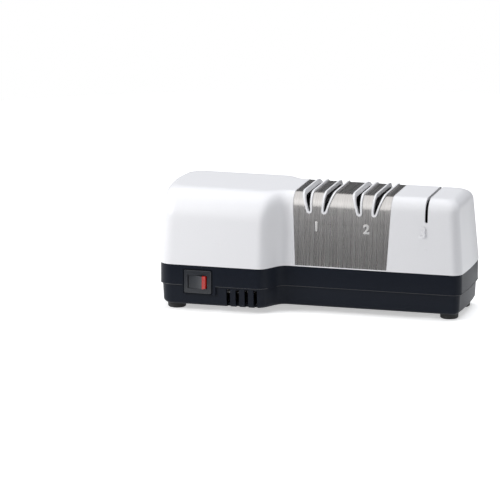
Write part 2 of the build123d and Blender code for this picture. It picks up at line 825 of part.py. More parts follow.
with BuildPart() as shading_rings:
    for side in (1, -1):
        near, far = shading_points(side)
        with BuildSketch(across(stack_left - shading_wire)):
            with Locations(near, far):
                Circle(shading_wire / 2)
        extrude(amount=stack_length + 2 * shading_wire)
        middle = ((near[0] + far[0]) / 2, (near[1] + far[1]) / 2)
        span = sqrt((near[0] - far[0]) ** 2 + (near[1] - far[1]) ** 2)
        for x in (stack_left - shading_wire, stack_right):
            with BuildSketch(across(x)):
                with Locations(middle):
                    SlotCenterToCenter(span, shading_wire, rotation=135)
            extrude(amount=shading_wire)
shading_rings.part.label = "shading_rings"
export_step(shading_rings.part, "parts/shading_rings.step")

yoke_middle = yoke_base + yoke_height / 2 - shaft_height

with BuildPart() as coil_bobbin:
    with BuildSketch(Plane.XZ.offset(window_width / 2 - body_gap)):
        with Locations((motor_x, yoke_base + yoke_height / 2)):
            Rectangle(stack_length + 2 * coil_reach, yoke_height + 2 * coil_reach)
    extrude(amount=-bobbin_wall)
    with BuildSketch(Plane.XZ.offset(-window_width / 2 + body_gap)):
        with Locations((motor_x, yoke_base + yoke_height / 2)):
            Rectangle(stack_length + 2 * coil_reach, yoke_height + 2 * coil_reach)
    extrude(amount=bobbin_wall)
    with BuildSketch(Plane.XZ):
        with Locations((motor_x, yoke_base + yoke_height / 2)):
            Rectangle(stack_length + 2 * bobbin_wall, yoke_height + 2 * bobbin_wall)
    extrude(amount=window_width / 2 - body_gap - bobbin_wall / 2, both=True)
    with BuildSketch(Plane.XZ):
        with Locations((motor_x, yoke_base + yoke_height / 2)):
            Rectangle(stack_length, yoke_height)
    extrude(amount=window_width, both=True, mode=Mode.SUBTRACT)
coil_bobbin.part.label = "coil_bobbin"
export_step(coil_bobbin.part, "parts/coil_bobbin.step")

with BuildPart() as coil_winding:
    with BuildSketch(Plane.XZ):
        with Locations((motor_x, yoke_base + yoke_height / 2)):
            RectangleRounded(
                stack_length + 2 * coil_reach - 1.2,
                yoke_height + 2 * coil_reach - 1.2,
                coil_build - 2,
            )
            Rectangle(
                stack_length + 2 * bobbin_wall,
                yoke_height + 2 * bobbin_wall,
                mode=Mode.SUBTRACT,
            )
    extrude(amount=window_width / 2 - body_gap - bobbin_wall, both=True)
coil_winding.part.label = "coil_winding"
export_step(coil_winding.part, "parts/coil_winding.step")

# ---------------------------------------------------------------- rotor, shaft and fan
shaft_left = fan_x - fan_width / 2 - 3
bearing_clear = shaft_diameter / 2 + running_fit
disk_root = disk_offset + cone_rise
hub_back = disk_travel + hub_stop
hub_end = hub_back + hub_length
pin_offset = hub_end - 2.1

with BuildPart() as drive_shaft:
    with BuildSketch(across(shaft_left)):
        Circle(shaft_diameter / 2)
    extrude(amount=shaft_right - shaft_left)
    chamfer(drive_shaft.edges().group_by(Axis.X)[0], 0.6)
    chamfer(drive_shaft.edges().group_by(Axis.X)[-1], 0.6)
    for centre in stage_centres:
        for side in (-1, 1):
            with BuildSketch(Plane.XY.offset(shaft_height)):
                with Locations((centre + side * pin_offset, 0)):
                    Circle(pin_diameter / 2)
            extrude(amount=shaft_diameter, both=True, mode=Mode.SUBTRACT)
drive_shaft.part.label = "drive_shaft"
export_step(drive_shaft.part, "parts/drive_shaft.step")

with BuildPart() as drive_pins:
    for centre in stage_centres:
        for side in (-1, 1):
            with BuildSketch(Plane.XY.offset(shaft_height - pin_grip / 2)):
                with Locations((centre + side * pin_offset, 0)):
                    Circle(pin_diameter / 2)
            extrude(amount=pin_grip)
drive_pins.part.label = "drive_pins"
export_step(drive_pins.part, "parts/drive_pins.step")

with BuildPart() as rotor_core:
    with BuildSketch(across(stack_left)):
        Circle(rotor_diameter / 2)
        Circle(shaft_diameter / 2, mode=Mode.SUBTRACT)
    extrude(amount=stack_length)
rotor_core.part.label = "rotor_core"
export_step(rotor_core.part, "parts/rotor_core.step")

with BuildPart() as rotor_end_rings:
    for x in (stack_left - end_ring_length, stack_right):
        with BuildSketch(across(x)):
            Circle(rotor_diameter / 2 - 2)
            Circle(rotor_diameter / 2 - 7, mode=Mode.SUBTRACT)
        extrude(amount=end_ring_length)
rotor_end_rings.part.label = "rotor_end_rings"
export_step(rotor_end_rings.part, "parts/rotor_end_rings.step")

fan_hub_radius = 8.0
blade_thickness = 1.4
blade_pitch = 32.0
blade_length = fan_diameter / 2 - fan_hub_radius + 1.5

with BuildPart() as cooling_fan:
    with BuildSketch(across(fan_x - fan_width / 2)):
        Circle(fan_hub_radius)
    extrude(amount=fan_width)
    for blade in range(fan_blades):
        turn = radians(360 / fan_blades * blade)
        spoke = Plane(
            origin=(fan_x, 0, shaft_height),
            x_dir=(0, cos(turn), sin(turn)),
            z_dir=(1, 0, 0),
        )
        reach = fan_diameter / 2 - blade_length / 2
        with Locations(spoke * Location((reach, 0, 0), (90 - blade_pitch, 0, 0))):
            Box(blade_length, fan_width * 1.05, blade_thickness)
    with BuildSketch(across(fan_x - fan_width)):
        Circle(fan_diameter / 2)
    extrude(amount=2 * fan_width, mode=Mode.INTERSECT)
    with BuildSketch(across(fan_x - fan_width)):
        Circle(shaft_diameter / 2)
    extrude(amount=2 * fan_width, mode=Mode.SUBTRACT)
cooling_fan.part.label = "cooling_fan"
export_step(cooling_fan.part, "parts/cooling_fan.step")

# ---------------------------------------------------------------- motor brackets and bearings
hub_radius = bearing_diameter / 2 + 2.5

for name, inner_face in bracket_faces.items():
    away = 1 if inner_face > motor_x else -1
    hub_start = inner_face - away * 3.2
    foot_x = inner_face + away * bracket_foot / 2
    with BuildPart() as motor_bracket:
        with BuildSketch(across(inner_face)):
            RectangleRounded(2 * bracket_half, bracket_bar, 6)
            with Locations(
                (bracket_half - bracket_leg / 2, (deck_top - shaft_height) / 2),
                (bracket_leg / 2 - bracket_half, (deck_top - shaft_height) / 2),
            ):
                Rectangle(bracket_leg, shaft_height - deck_top)
        extrude(amount=away * bracket_thickness)
        with BuildSketch(across(inner_face)):
            with Locations((-bolt_spacing / 2, 0), (bolt_spacing / 2, 0)):
                Circle(4.5)
        extrude(amount=-away * bracket_standoff)
        with BuildSketch(across(hub_start)):
            Circle(hub_radius)
        extrude(amount=away * bearing_length)
        with BuildSketch(Plane.XY.offset(deck_top)):
            with Locations(
                (foot_x, bracket_half + 1.5),
                (foot_x, -bracket_half - 1.5),
            ):
                RectangleRounded(bracket_foot, 11, 2)
        extrude(amount=bracket_thickness)
        with BuildSketch(across(hub_start)):
            Circle(bearing_diameter / 2)
        extrude(amount=away * bearing_length, mode=Mode.SUBTRACT)
        with BuildSketch(across(inner_face - away * bracket_standoff)):
            with Locations((-bolt_spacing / 2, 0), (bolt_spacing / 2, 0)):
                Circle(bolt_diameter / 2)
        extrude(amount=away * (bracket_standoff + bracket_thickness), mode=Mode.SUBTRACT)
        with BuildSketch(Plane.XY.offset(deck_top)):
            with Locations(
                (foot_x + away, bracket_half + 3.0),
                (foot_x + away, -bracket_half - 3.0),
            ):
                Circle(screw_diameter / 2)
        extrude(amount=bracket_thickness, mode=Mode.SUBTRACT)
    motor_bracket.part.label = name
    export_step(motor_bracket.part, f"parts/{name}.step")

with BuildPart() as outboard_bracket:
    with BuildSketch(across(outboard_x - bracket_thickness / 2)):
        with BuildLine():
            Line((-outboard_width / 2, deck_top - shaft_height), (-hub_radius - 1, 0))
            ThreePointArc((-hub_radius - 1, 0), (0, hub_radius + 1), (hub_radius + 1, 0))
            Line((hub_radius + 1, 0), (outboard_width / 2, deck_top - shaft_height))
            Line((outboard_width / 2, deck_top - shaft_height), (-outboard_width / 2, deck_top - shaft_height))
        make_face()
    extrude(amount=bracket_thickness)
    with BuildSketch(across(outboard_x - bearing_length / 2)):
        Circle(hub_radius)
    extrude(amount=bearing_length)
    with BuildSketch(Plane.XY.offset(deck_top)):
        with Locations((outboard_x, 0)):
            RectangleRounded(outboard_foot, outboard_width + 16, 3)
    extrude(amount=bracket_thickness)
    with BuildSketch(across(outboard_x - bearing_length / 2)):
        Circle(bearing_diameter / 2)
    extrude(amount=bearing_length, mode=Mode.SUBTRACT)
    with BuildSketch(Plane.XY.offset(deck_top)):
        with Locations(*bracket_screw_places[:2]):
            Circle(screw_diameter / 2)
    extrude(amount=bracket_thickness, mode=Mode.SUBTRACT)
outboard_bracket.part.label = "outboard_bracket"
export_step(outboard_bracket.part, "parts/outboard_bracket.step")
with BuildPart() as shaft_bearings:
    for x in (
        bracket_faces["motor_bracket_front"] - 3.2,
        bracket_faces["motor_bracket_rear"] + 3.2 - bearing_length,
        outboard_x - bearing_length / 2,
    ):
        with BuildSketch(across(x)):
            Circle(bearing_diameter / 2)
            Circle(bearing_clear, mode=Mode.SUBTRACT)
        extrude(amount=bearing_length)
shaft_bearings.part.label = "shaft_bearings"
export_step(shaft_bearings.part, "parts/shaft_bearings.step")

with BuildPart() as motor_bolts:
    bolt_left = bracket_faces["motor_bracket_rear"] - bracket_thickness
    bolt_right = bracket_faces["motor_bracket_front"] + bracket_thickness
    with BuildSketch(across(bolt_left)):
        with Locations((-bolt_spacing / 2, 0), (bolt_spacing / 2, 0)):
            Circle(bolt_diameter / 2)
    extrude(amount=bolt_right - bolt_left)
    with BuildSketch(across(bolt_right)):
        with Locations((-bolt_spacing / 2, 0), (bolt_spacing / 2, 0)):
            RegularPolygon(4.0, 6)
    extrude(amount=2.8)
motor_bolts.part.label = "motor_bolts"
export_step(motor_bolts.part, "parts/motor_bolts.step")

with BuildPart() as bracket_screws:
    with BuildSketch(Plane.XY.offset(deck_bottom)):
        with Locations(*bracket_screw_places):
            Circle(screw_diameter / 2)
    extrude(amount=deck_thickness + bracket_thickness)
    with BuildSketch(Plane.XY.offset(deck_top + bracket_thickness)):
        with Locations(*bracket_screw_places):
            Circle(screw_head_diameter / 2)
    extrude(amount=screw_head_height)
    chamfer(bracket_screws.faces().group_by(Axis.Z)[-1].edges(), 0.6)
bracket_screws.part.label = "bracket_screws"
export_step(bracket_screws.part, "parts/bracket_screws.step")

with BuildPart() as housing_screws:
    head_top = tray_bottom + counterbore_depth
    screw_tip = boss_top - 5
    with BuildSketch(Plane.XY.offset(head_top - screw_head_height)):
        with Locations(*boss_places):
            Circle(screw_head_diameter / 2)
    extrude(amount=screw_head_height)
    with BuildSketch(Plane.XY.offset(head_top)):
        with Locations(*boss_places):
            Circle(screw_diameter / 2)
    extrude(amount=screw_tip - head_top)
    chamfer(housing_screws.faces().group_by(Axis.Z)[-1].edges(), 0.6)
housing_screws.part.label = "housing_screws"
export_step(housing_screws.part, "parts/housing_screws.step")

# ---------------------------------------------------------------- grinding disks and hubs
disk_radius = disk_diameter / 2
nose_radius = disk_nose_diameter / 2
hub_bore = shaft_diameter / 2 + running_fit
spring_seat_radius = spring_mean_radius + spring_wire + 0.1
spring_seat_depth = 1.4
pin_slot = pin_diameter + 0.6
pin_floor = pin_offset - pin_diameter / 2 - body_gap


def lengthwise(points, centre, side):
    """Closed profile of a turned part: distance from the stage centre and radius."""
    return [(centre + side * out, shaft_height + radius) for out, radius in points]


for number, centre in enumerate(stage_centres, start=1):
    for side, hand in ((-1, "left"), (1, "right")):
        with BuildPart() as disk:
            with BuildSketch(Plane.XZ):
                with BuildLine():
                    Polyline(
                        *lengthwise(
                            [
                                (disk_root - disk_thickness, hub_diameter / 2),
                                (disk_root, hub_diameter / 2),
                                (disk_root, nose_radius),
                                (disk_offset, disk_radius - 0.5),
                                (disk_offset - 0.5, disk_radius),
                                (disk_offset - disk_thickness, disk_radius),
                                (disk_root - disk_thickness, nose_radius),
                            ],
                            centre,
                            side,
                        ),
                        close=True,
                    )
                make_face()
            revolve(axis=shaft_axis)
        disk.part.label = f"stage_{number}_disk_{hand}"
        export_step(disk.part, f"parts/stage_{number}_disk_{hand}.step")

        with BuildPart() as hub:
            with BuildSketch(Plane.XZ):
                with BuildLine():
                    Polyline(
                        *lengthwise(
                            [
                                (hub_back, spring_seat_radius),
                                (hub_back, hub_flange_diameter / 2),
                                (disk_root - disk_thickness, hub_flange_diameter / 2),
                                (disk_root - disk_thickness, hub_diameter / 2),
                                (hub_end, hub_diameter / 2),
                                (hub_end, hub_bore),
                                (hub_back + spring_seat_depth, hub_bore),
                                (hub_back + spring_seat_depth, spring_seat_radius),
                            ],
                            centre,
                            side,
                        ),
                        close=True,
                    )
                make_face()
            revolve(axis=shaft_axis)
            with BuildSketch(across(centre + side * pin_floor)):
                Rectangle(pin_slot, hub_diameter + 2)
            extrude(amount=side * hub_length, mode=Mode.SUBTRACT)
        hub.part.label = f"stage_{number}_hub_{hand}"
        export_step(hub.part, f"parts/stage_{number}_hub_{hand}.step")

    spring_half = hub_back + spring_seat_depth - 0.1
    spring_length = 2 * spring_half - spring_wire
    with BuildPart() as disk_spring:
        with BuildLine() as coil_path:
            Helix(
                pitch=spring_length / 3,
                height=spring_length,
                radius=spring_mean_radius,
                center=(centre - spring_length / 2, 0, shaft_height),
                direction=(1, 0, 0),
            )
        with BuildSketch(coil_path.line ^ 0):
            RegularPolygon(spring_wire / 2, 6)
        sweep(path=coil_path.line)
    disk_spring.part.label = f"stage_{number}_spring"
    export_step(disk_spring.part, f"parts/stage_{number}_spring.step")

# ---------------------------------------------------------------- guide frame and blade guides
guide_inner = disk_radius + 1.5
guide_wall = 2.0
guide_outer = guide_inner + guide_wall
guide_left = stage_1_x - hub_end - 2.0
guide_right = stage_2_x + hub_end + 2.0
guide_top = 88.8
tongue_half = 4.4
end_window = 18.0
blade_clearance = 0.6

with BuildPart() as guide_frame:
    with BuildSketch(Plane.XY.offset(deck_top)):
        with Locations(((guide_left + guide_right) / 2, 0)):
            Rectangle(guide_right - guide_left + 2 * guide_wall, 2 * guide_outer)
            Rectangle(guide_right - guide_left, 2 * guide_inner, mode=Mode.SUBTRACT)
    extrude(amount=guide_top - deck_top)
    # Blade slots through the front and back walls.
    add(powered_slots(blade_clearance, slot_width_low, slot_width_low), mode=Mode.SUBTRACT)
    # Windows for the shaft and hubs in the end walls.
    with BuildSketch(across(guide_left - guide_wall)):
        Circle(end_window / 2)
        with Locations((0, (deck_top - shaft_height) / 2)):
            Rectangle(end_window, shaft_height - deck_top)
    extrude(amount=guide_right - guide_left + 2 * guide_wall, mode=Mode.SUBTRACT)
guide_frame.part.label = "guide_frame"
export_step(guide_frame.part, "parts/guide_frame.step")

spring_thickness = 1.2
arm_drop = 11.0
arm_start = 17.5

for number, centre in enumerate(stage_centres, start=1):
    with BuildPart() as blade_guide:
        with BuildSketch(Plane.XZ):
            with BuildLine():
                crown = guide_top + spring_thickness
                lean_in = tan(radians(slot_lean))
                half = tongue_half
                foot = half - arm_drop * lean_in
                Polyline(
                    (centre - half, crown - 1.2),
                    (centre - half + 1.2, crown),
                    (centre + half - 1.2, crown),
                    (centre + half, crown - 1.2),
                    (centre + foot, crown - arm_drop),
                    (centre + foot - spring_thickness, crown - arm_drop),
                    (centre + half - 1.7, guide_top),
                    (centre - half + 1.7, guide_top),
                    (centre - foot + spring_thickness, crown - arm_drop),
                    (centre - foot, crown - arm_drop),
                    close=True,
                )
            make_face()
        extrude(amount=guide_inner - body_gap, both=True)
        with BuildSketch(Plane.XY.offset(guide_top)):
            with Locations((centre, 0)):
                Rectangle(2 * half, 2 * arm_start)
        extrude(amount=-2 * arm_drop, mode=Mode.SUBTRACT)
        with BuildSketch(Plane.XY.offset(guide_top)):
            with Locations((centre, 0)):
                Rectangle(2 * half - 2.8, 2 * guide_outer)
        extrude(amount=spring_thickness)
    blade_guide.part.label = f"stage_{number}_blade_guide"
    export_step(blade_guide.part, f"parts/stage_{number}_blade_guide.step")

# ---------------------------------------------------------------- manual stage
wheel_radius = 9.0
wheel_thickness = 2.4
wheel_step = 6.0
cross_height = manual_slot_foot + 1.2
cross_angle = 20.0
wheel_half_span = wheel_radius * cos(radians(cross_angle))
wheel_axis_z = cross_height - wheel_radius * sin(radians(cross_angle))
spindle_radius = 4.0
axle_radius = 1.5
cheek_inner = 11.5
cheek_thickness = 2.5
cheek_half = 19.0
cheek_top = wheel_axis_z + 8.0
cheek_low = wheel_axis_z - 13.0

with BuildPart() as manual_carrier:
    with BuildSketch(Plane.XZ):
        with Locations((manual_slot_x, (cheek_top + cheek_low) / 2)):
            RectangleRounded(2 * cheek_half, cheek_top - cheek_low, 4)
        with Locations((manual_slot_x, (cheek_low + deck_top) / 2 + 1)):
            Rectangle(18, cheek_low - deck_top + 2)
        with Locations(
            (manual_slot_x - wheel_half_span, wheel_axis_z),
            (manual_slot_x + wheel_half_span, wheel_axis_z),
        ):
            Circle(axle_radius, mode=Mode.SUBTRACT)
        with Locations((manual_slot_x, (cheek_top + manual_slot_foot) / 2 + 2)):
            Rectangle(manual_slot_width + 1, cheek_top - manual_slot_foot + 4, mode=Mode.SUBTRACT)
    extrude(amount=cheek_inner + cheek_thickness, both=True)
    with BuildSketch(Plane.XZ):
        with Locations((manual_slot_x, (cheek_top + cheek_low) / 2 + 3 + cheek_thickness / 2)):
            Rectangle(3 * cheek_half, cheek_top - cheek_low - cheek_thickness + 6)
    extrude(amount=cheek_inner, both=True, mode=Mode.SUBTRACT)
    with BuildSketch(Plane.XY.offset(cheek_low)):
        with Locations((manual_slot_x, 0)):
            RectangleRounded(12, 16, 3)
    extrude(amount=cheek_thickness, mode=Mode.SUBTRACT)
    with BuildSketch(Plane.XZ):
        with Locations((manual_slot_x, (cheek_low + deck_top) / 2)):
            Rectangle(12, cheek_low - deck_top)
    extrude(amount=cheek_inner - 2, both=True, mode=Mode.SUBTRACT)
manual_carrier.part.label = "manual_stage_carrier"
export_step(manual_carrier.part, "parts/manual_stage_carrier.step")

wheel_stacks = {
    "manual_wheels_left": (-1, (-1.5, -0.5, 0.5, 1.5)),
    "manual_wheels_right": (1, (-1.0, 0.0, 1.0)),
}
for name, (side, rows) in wheel_stacks.items():
    centre_x = manual_slot_x + side * wheel_half_span
    with BuildPart() as wheels:
        with BuildSketch(Plane.XZ):
            with Locations((centre_x, wheel_axis_z)):
                Circle(spindle_radius)
        extrude(amount=wheel_step * max(rows) + wheel_thickness / 2, both=True)
        for row in rows:
            with BuildSketch(Plane.XZ.offset(row * wheel_step - wheel_thickness / 2)):
                with Locations((centre_x, wheel_axis_z)):
                    Circle(wheel_radius)
            extrude(amount=wheel_thickness)
        with BuildSketch(Plane.XZ):
            with Locations((centre_x, wheel_axis_z)):
                Circle(axle_radius + running_fit)
        extrude(amount=cheek_inner, both=True, mode=Mode.SUBTRACT)
    wheels.part.label = name
    export_step(wheels.part, f"parts/{name}.step")

with BuildPart() as wheel_axles:
    with BuildSketch(Plane.XZ):
        with Locations(
            (manual_slot_x - wheel_half_span, wheel_axis_z),
            (manual_slot_x + wheel_half_span, wheel_axis_z),
        ):
            Circle(axle_radius)
    extrude(amount=cheek_inner + cheek_thickness + 0.5, both=True)
wheel_axles.part.label = "wheel_axles"
export_step(wheel_axles.part, "parts/wheel_axles.step")

# ---------------------------------------------------------------- switch lead
lead_diameter = 2.4
lead_start = bezel_back + switch_body_depth
lead_end = body_gap - window_width / 2 - 0.05
lead_x = stack_left - coil_build / 2
lead_z = yoke_base + yoke_height / 2

with BuildPart() as switch_lead:
    with BuildLine() as lead_path:
        FilletPolyline(
            (switch_x, lead_start, switch_z),
            (switch_x, lead_start + 8, switch_z),
            (lead_x, lead_end - 8, lead_z),
            (lead_x, lead_end, lead_z),
            radius=4,
        )
    with BuildSketch(lead_path.line ^ 0):
        Circle(lead_diameter / 2)
    sweep(path=lead_path.line)
switch_lead.part.label = "switch_lead"
export_step(switch_lead.part, "parts/switch_lead.step")
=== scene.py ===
# %% [markdown]
# # Dressing an electric knife sharpener
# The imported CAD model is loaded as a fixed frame. Nothing in it is moved. This lesson gives every
# piece the finish of the real material, adds the raised stage numbers and the bead along the
# parting line, and sets a soft studio.

# %% Load the frame
import bpy
import json
from math import cos, radians, sin, tan
from mathutils import Matrix, Vector


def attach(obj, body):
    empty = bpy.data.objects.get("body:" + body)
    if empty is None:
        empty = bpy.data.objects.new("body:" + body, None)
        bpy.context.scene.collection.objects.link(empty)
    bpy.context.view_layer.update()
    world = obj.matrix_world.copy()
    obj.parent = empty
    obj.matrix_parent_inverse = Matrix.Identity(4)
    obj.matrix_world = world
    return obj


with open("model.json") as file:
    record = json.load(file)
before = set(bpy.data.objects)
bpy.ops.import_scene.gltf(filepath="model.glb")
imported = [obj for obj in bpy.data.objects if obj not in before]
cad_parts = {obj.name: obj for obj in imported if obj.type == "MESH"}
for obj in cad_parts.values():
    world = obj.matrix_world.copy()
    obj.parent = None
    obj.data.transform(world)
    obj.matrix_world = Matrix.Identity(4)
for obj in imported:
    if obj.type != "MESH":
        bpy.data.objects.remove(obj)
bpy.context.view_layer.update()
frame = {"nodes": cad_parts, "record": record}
nodes = frame["nodes"]

# %% [markdown]
# ## Camera
# A long lens from a few metres away keeps the parallel edges of a small appliance nearly parallel.
# A short lens close by would spread the near end of such a long body, so it isn't used here.
# The view turns a little to the right of the front and looks down at about thirteen degrees.

# %% Camera
turn, tilt = radians(15.28), radians(12.99)
camera_distance = 4.0
lens_length = 351.36
sensor_width = 36
far_clip = 50
body_middle = Vector((0.0015, 0, 0))
aim_left, aim_above = 0.05957, 0.04342

right = Vector((cos(turn), sin(turn), 0))
up = Vector((-sin(tilt) * sin(turn), sin(tilt) * cos(turn), cos(tilt)))
back = Vector((sin(turn) * cos(tilt), -cos(turn) * cos(tilt), sin(tilt)))
look_at = body_middle - right * aim_left + up * aim_above

camera_data = bpy.data.cameras.new("studio_camera")
camera = bpy.data.objects.new("studio_camera", camera_data)
bpy.context.scene.collection.objects.link(camera)
camera.location = look_at + back * camera_distance
camera.rotation_euler = Matrix((right, up, back)).transposed().to_euler()
camera_data.lens = lens_length
camera_data.sensor_width = sensor_width
camera_data.clip_end = far_clip
bpy.context.scene.camera = camera
print("camera at", [round(v, 3) for v in camera.location])

# %% [markdown]
# ## World
# A product on white needs a white surround and yet a modest light, or its pale cover burns out.
# One world colour can't be both. So the world has two strengths: a low one that lights the object,
# and full white for the camera, for mirrors and for glass. The Light Path node tells them apart.

# %% What the camera and mirrors see


def seen_directly(tree):
    """One where the camera, a mirror or glass looks straight at a surface, else zero."""
    path = tree.nodes.new("ShaderNodeLightPath")
    total = path.outputs["Is Camera Ray"]
    for ray in ("Is Glossy Ray", "Is Transmission Ray"):
        larger = tree.nodes.new("ShaderNodeMath")
        larger.operation = "MAXIMUM"
        tree.links.new(total, larger.inputs[0])
        tree.links.new(path.outputs[ray], larger.inputs[1])
        total = larger.outputs[0]
    return total


# %% World
sky_colour = (0.95, 0.97, 1.0)
sky_strength = 0.29

world = bpy.data.worlds.new("studio_world")
bpy.context.scene.world = world
world.use_nodes = True
world_tree = world.node_tree
world_tree.nodes.clear()
out = world_tree.nodes.new("ShaderNodeOutputWorld")
mix = world_tree.nodes.new("ShaderNodeMixShader")
lighting = world_tree.nodes.new("ShaderNodeBackground")
lighting.inputs["Color"].default_value = (*sky_colour, 1)
lighting.inputs["Strength"].default_value = sky_strength
seen = world_tree.nodes.new("ShaderNodeBackground")
seen.inputs["Color"].default_value = (1, 1, 1, 1)
seen.inputs["Strength"].default_value = 1.0
world_tree.links.new(seen_directly(world_tree), mix.inputs[0])
world_tree.links.new(lighting.outputs[0], mix.inputs[1])
world_tree.links.new(seen.outputs[0], mix.inputs[2])
world_tree.links.new(mix.outputs[0], out.inputs[0])
bpy.context.scene.view_settings.view_transform = "Standard"
print("world strength", sky_strength)

# %% [markdown]
# ## Lamps
# A lamp at the front left is the key. It stands far enough round that the flank which faces right
# falls into a soft grey and the body reads as round. A wide lamp overhead fills the top. Small
# lamps would draw hard shadows, so both are area lamps.
#
# This light is still a little strong. The motor housing's left front corner reaches full white, and so
# does its top when seen from behind, so the shape is lost there. The first thing to try is less power
# in the lamps, with the cover's colour left as it is.

# %% Lamps


def soft_lamp(name, place, aim, size, power, colour=(1, 1, 1)):
    """Large area lamp that points at a place on the object."""
    data = bpy.data.lights.new(name, "AREA")
    data.shape = "RECTANGLE"
    data.size, data.size_y = size
    data.energy = power
    data.color = colour
    lamp = bpy.data.objects.new(name, data)
    bpy.context.scene.collection.objects.link(lamp)
    lamp.location = place
    lamp.rotation_euler = (Vector(aim) - Vector(place)).to_track_quat("-Z", "Y").to_euler()
    print(name, "power", power)
    return lamp


soft_lamp("key_lamp", (-0.68, -0.55, 0.5), (-0.05, 0, 0.05), (0.45, 0.45), 5.1)
top_lamp = soft_lamp("top_lamp", (0.1, 0.15, 1.2), (0, 0, 0.05), (1.0, 0.8), 11.0, sky_colour)
# The steel plate would mirror the top lamp as a burnt-out patch.
top_lamp.visible_glossy = False

# %% [markdown]
# ## Floor
# The floor is pale and keeps the soft shadow under the feet. A little glow of its own, for the
# camera and for mirrors alone, lifts it to white without more light on the object. It is a disc
# that ends while it is still white, so no view shows a corner or a grey distance.

# %% Floor
floor_radius = 0.9
floor_sides = 96
floor_lift = 0.5


def deselect():
    """Clear the selection, so that the next operator acts on its own object alone."""
    for item in bpy.context.selected_objects:
        item.select_set(False)


def stage_material(name, roughness):
    """Material for the stage and its shader, whose colour is still to be given."""
    made = bpy.data.materials.new(name)
    made.use_nodes = True
    shader = made.node_tree.nodes["Principled BSDF"]
    shader.inputs["Roughness"].default_value = roughness
    return made, shader


deselect()
bpy.ops.mesh.primitive_circle_add(
    vertices=floor_sides, radius=floor_radius, fill_type="NGON", location=(0, 0, 0)
)
floor = bpy.context.object
floor.name = "studio_floor"
pale, shader = stage_material("pale_floor", 0.8)
shader.inputs["Base Color"].default_value = (0.93, 0.93, 0.93, 1)
tree = pale.node_tree
lift = tree.nodes.new("ShaderNodeMath")
lift.operation = "MULTIPLY"
lift.inputs[1].default_value = floor_lift
tree.links.new(seen_directly(tree), lift.inputs[0])
shader.inputs["Emission Color"].default_value = (1, 1, 1, 1)
tree.links.new(lift.outputs[0], shader.inputs["Emission Strength"])
floor.data.materials.append(pale)
print("floor radius", floor_radius)

# %% [markdown]
# ## Reflection cards
# Polished metal only shows what stands round it, and in an all-white room the steel plate would
# be white. Cards that mirrors alone can see give it something darker to show. A dark one stands far
# behind for the plate's top. A near one on each side grows lighter upwards, and so the plate does too.

# %% Reflection cards
card_roughness = 0.9
fade_from, fade_to = -0.3, 0.4
dark_foot, light_top = 0.015, 0.5


def reflection_card(name, place, size):
    """Upright card that only mirrors see, as a studio flag that shades polished steel."""
    deselect()
    bpy.ops.mesh.primitive_plane_add(size=1, location=place)
    card = bpy.context.object
    card.name = name
    card.scale = (*size, 1)
    card.rotation_euler = (radians(90), 0, 0)
    made, shader = stage_material(name, card_roughness)
    card.data.materials.append(made)
    card.visible_camera = False
    card.visible_diffuse = False
    card.visible_shadow = False
    print(name, "size", size)
    return made, shader


def grade(tree, shader, low, high):
    """Fade a card from dark at its foot to light at its top."""
    coords = tree.nodes.new("ShaderNodeTexCoord")
    split = tree.nodes.new("ShaderNodeSeparateXYZ")
    fade = tree.nodes.new("ShaderNodeMapRange")
    fade.inputs["From Min"].default_value = fade_from
    fade.inputs["From Max"].default_value = fade_to
    fade.inputs["To Min"].default_value = low
    fade.inputs["To Max"].default_value = high
    tree.links.new(coords.outputs["Object"], split.inputs[0])
    tree.links.new(split.outputs["Y"], fade.inputs["Value"])
    tree.links.new(fade.outputs["Result"], shader.inputs["Base Color"])


made, shader = reflection_card("dark_card_behind", (0.05, 1.6, 0.8), (4.0, 1.6))
shader.inputs["Base Color"].default_value = (0.14, 0.141, 0.146, 1)
for name, place, size in (
    ("graded_card_front", (0.05, -0.15, 0.05), (0.7, 0.1)),
    ("graded_card_back", (0.02, 0.15, 0.05), (0.26, 0.1)),
):
    made, shader = reflection_card(name, place, size)
    grade(made.node_tree, shader, dark_foot, light_top)

# %% [markdown]
# ## Shared effects
# Moulded plastic has a fine uneven skin, and brushed steel has long scratches. Each could be drawn
# anew in every material. Here each is one node group with named sockets, which a material takes in
# with its own values, so the look of a surface is mended in one place.

# %% Group helpers


def new_group(name, inputs):
    """Shader node group with named inputs, which puts out a height and a roughness."""
    group = bpy.data.node_groups.new(name, "ShaderNodeTree")
    for label in inputs:
        group.interface.new_socket(name=label, in_out="INPUT", socket_type="NodeSocketFloat")
    for label in ("Height", "Roughness"):
        group.interface.new_socket(name=label, in_out="OUTPUT", socket_type="NodeSocketFloat")
    print("group", name, inputs)
    return group, group.nodes.new("NodeGroupInput"), group.nodes.new("NodeGroupOutput")


def send_out(group, noise, g_in, g_out):
    """Send a noise out as the height, and spread between Low and High as the roughness."""
    spread = group.nodes.new("ShaderNodeMapRange")
    group.links.new(noise.outputs[0], spread.inputs["Value"])
    group.links.new(g_in.outputs["Low"], spread.inputs["To Min"])
    group.links.new(g_in.outputs["High"], spread.inputs["To Max"])
    group.links.new(noise.outputs[0], g_out.inputs["Height"])
    group.links.new(spread.outputs["Result"], g_out.inputs["Roughness"])


# %% Group: fine skin
skin, g_in, g_out = new_group("fine_skin", ("Scale", "Low", "High"))
coords = skin.nodes.new("ShaderNodeTexCoord")
grain = skin.nodes.new("ShaderNodeTexNoise")
grain.inputs["Detail"].default_value = 3
skin.links.new(coords.outputs["Object"], grain.inputs["Vector"])
skin.links.new(g_in.outputs["Scale"], grain.inputs["Scale"])
send_out(skin, grain, g_in, g_out)


def skin_values(size, low, high):
    """Settings of the fine skin."""
    return {"Scale": size, "Low": low, "High": high}


# %% [markdown]
# ### Long scratches
# Brushing leaves lines that are very fine across and long along. The same noise makes them once its
# coordinates are stretched: many steps along X, and only a few along Y and Z.

